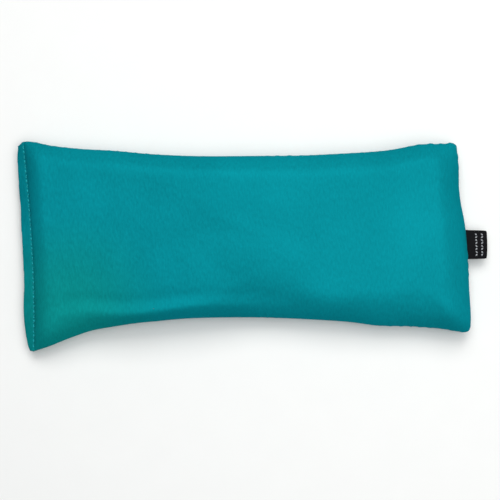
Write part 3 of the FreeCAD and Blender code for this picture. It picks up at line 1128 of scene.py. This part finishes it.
def label_place(distance, height, across, reach, label):
    """Where a point of the label lies, with its droop and the softened corners at its tip."""
    share = max(distance, 0.0) / reach
    width = 1 - 0.035 * share ** 2
    near_tip = max(share - 0.86, 0) / 0.14
    corner = max(abs(across) - 0.82, 0) / 0.18
    y = LABEL_MIDDLE + across * width * LABEL_WIDTH / 2 * (1 - 0.012 * near_tip ** 2)
    x = LABEL_SEAM - LEAN * y * max(1 - share, 0) - LEAN * LABEL_MIDDLE * min(share, 1)
    x += distance - 0.25 * MM * near_tip * corner ** 2 - 0.2 * MM * share * across ** 2
    z = seam_level(np.array(LABEL_END)) + height - label.droop * share ** 2
    z += 0.28 * MM * share * math.cos(across * 2.3 + 0.6)
    return x, y, float(z)


class EYEPILLOW_OT_label(Operator):
    """Makes the woven label: one tape folded in half, its tails inside the end seam"""
    bl_idname = "eyepillow.label"
    bl_label = "Woven label"

    def execute(self, context):
        label = context.scene.pillow_label
        path, reach = label_path(label)
        across = np.linspace(-1, 1, LABEL_COLUMNS)
        points = [label_place(d, h, a, reach, label) for d, h in path for a in across]
        piece = new_piece("woven_label", points, grid_faces(len(path), LABEL_COLUMNS))
        run = run_along(np.array(path))
        lay_flat(piece, [(r, a * LABEL_WIDTH / 2) for r in run for a in across])
        apply_modifier(piece, "SOLIDIFY", thickness=label.tape, offset=0.0)
        smooth(piece, 50)
        dress(piece, tape_material(tuple(label.ground)))
        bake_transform(piece)
        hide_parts("label_tails", "label_fold")
        return {"FINISHED"}


class EYEPILLOW_OT_label_motif(Operator):
    """Makes the label's motif: two columns of plain chevrons in raised weft floats"""
    bl_idname = "eyepillow.label_motif"
    bl_label = "Label motif"

    def execute(self, context):
        scene = context.scene
        label = scene.pillow_label
        path, reach = label_path(label)
        top = path[0][1] + label.tape / 2
        pitch = LABEL_WIDTH / (MOTIF_ROWS + 0.9)
        form = stitch_shape(0.56 * pitch, MOTIF_THREAD, 6, 3)
        places = []
        for row in range(MOTIF_ROWS):
            middle = (row - (MOTIF_ROWS - 1) / 2) * pitch
            for column in MOTIF_COLUMNS:
                for arm in (-1, 1):
                    for line in (-1, 0, 1):
                        distance = reach * column + line * MOTIF_LINE_GAP
                        offset = middle + arm * pitch / 4
                        here = label_place(distance, top, offset / (LABEL_WIDTH / 2), reach, label)
                        places.append((here, (-0.5 * arm, 1.0, 0.0), (0, 0, 1)))
        piece = sew("label_motif_threads", form, places)
        dress(piece, thread_material("grey_weft", tuple(label.motif), 5200.0))
        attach(piece, "label_tab")
        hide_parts("label_motif_threads")
        return {"FINISHED"}


# ---------------------------------------------------------------- stage

def area_light(name, size, power, place):
    """A soft rectangular light at a place, aimed at the middle of the pillow."""
    data = bpy.data.lights.new(name, "AREA")
    data.color = (1.0, 1.0, 0.97)
    data.shape = "RECTANGLE"
    data.size, data.size_y = size
    data.energy = power
    lamp = bpy.data.objects.new(name, data)
    bpy.context.scene.collection.objects.link(lamp)
    lamp.location = place
    lamp.rotation_euler = (-Vector(place)).to_track_quat("-Z", "Y").to_euler()


class EYEPILLOW_OT_stage(Operator):
    """Sets up the pale floor, the soft studio light and the camera above the pillow"""
    bl_idname = "eyepillow.stage"
    bl_label = "Stage"

    def execute(self, context):
        scene = context.scene
        stage = scene.pillow_stage
        bpy.ops.object.select_all(action="DESELECT")
        bpy.ops.mesh.primitive_plane_add(size=6.0, location=(0, 0, 0))
        floor = context.object
        floor.name = "studio_floor"
        floor.data.materials.append(floor_material(tuple(stage.floor)))

        world = bpy.data.worlds.new("studio")
        scene.world = world
        world.use_nodes = True
        world.node_tree.nodes["Background"].inputs["Color"].default_value = (0.88, 0.93, 1.0, 1.0)
        world.node_tree.nodes["Background"].inputs["Strength"].default_value = 0.23
        area_light("overhead", (1.0, 0.8), 5.9, (0.15, 0.09, 0.75))
        area_light("back", (1.4, 1.0), 20.5, (-0.1, 1.35, 1.85))

        camera = bpy.data.objects.new("camera", bpy.data.cameras.new("camera"))
        scene.collection.objects.link(camera)
        camera.data.lens = stage.lens
        distance = stage.lens * stage.span / camera.data.sensor_width
        camera.location = (-0.9 * MM, -1.7 * MM, SEAM_HEIGHT + distance)
        scene.camera = camera
        scene.view_settings.view_transform = "Standard"
        return {"FINISHED"}


class EYEPILLOW_PT_sidebar(Panel):
    """Lists the steps that make the eye pillow, in order"""
    bl_label = "Eye Pillow"
    bl_space_type = "VIEW_3D"
    bl_region_type = "UI"
    bl_category = "Eye Pillow"

    def draw(self, context):
        for step in STEPS:
            self.layout.operator(step.bl_idname)


GROUPS = {"pillow_cover": PillowCover, "pillow_thread": PillowThread,
          "pillow_filling": PillowFilling, "pillow_label": PillowLabel,
          "pillow_stage": PillowStage}
STEPS = (EYEPILLOW_OT_stage, EYEPILLOW_OT_cover, EYEPILLOW_OT_filling,
         EYEPILLOW_OT_closing_stitches, EYEPILLOW_OT_seam_stitches, EYEPILLOW_OT_label,
         EYEPILLOW_OT_label_motif)


def register():
    for name, group in GROUPS.items():
        bpy.utils.register_class(group)
        setattr(bpy.types.Scene, name, PointerProperty(type=group))
    for step in STEPS:
        bpy.utils.register_class(step)
    bpy.utils.register_class(EYEPILLOW_PT_sidebar)


def unregister():
    bpy.utils.unregister_class(EYEPILLOW_PT_sidebar)
    for step in reversed(STEPS):
        bpy.utils.unregister_class(step)
    for name, group in GROUPS.items():
        delattr(bpy.types.Scene, name)
        bpy.utils.unregister_class(group)


def main():
    register()
    for step in STEPS:
        group, action = step.bl_idname.split(".")
        getattr(getattr(bpy.ops, group), action)()


if __name__ == "__main__":
    main()
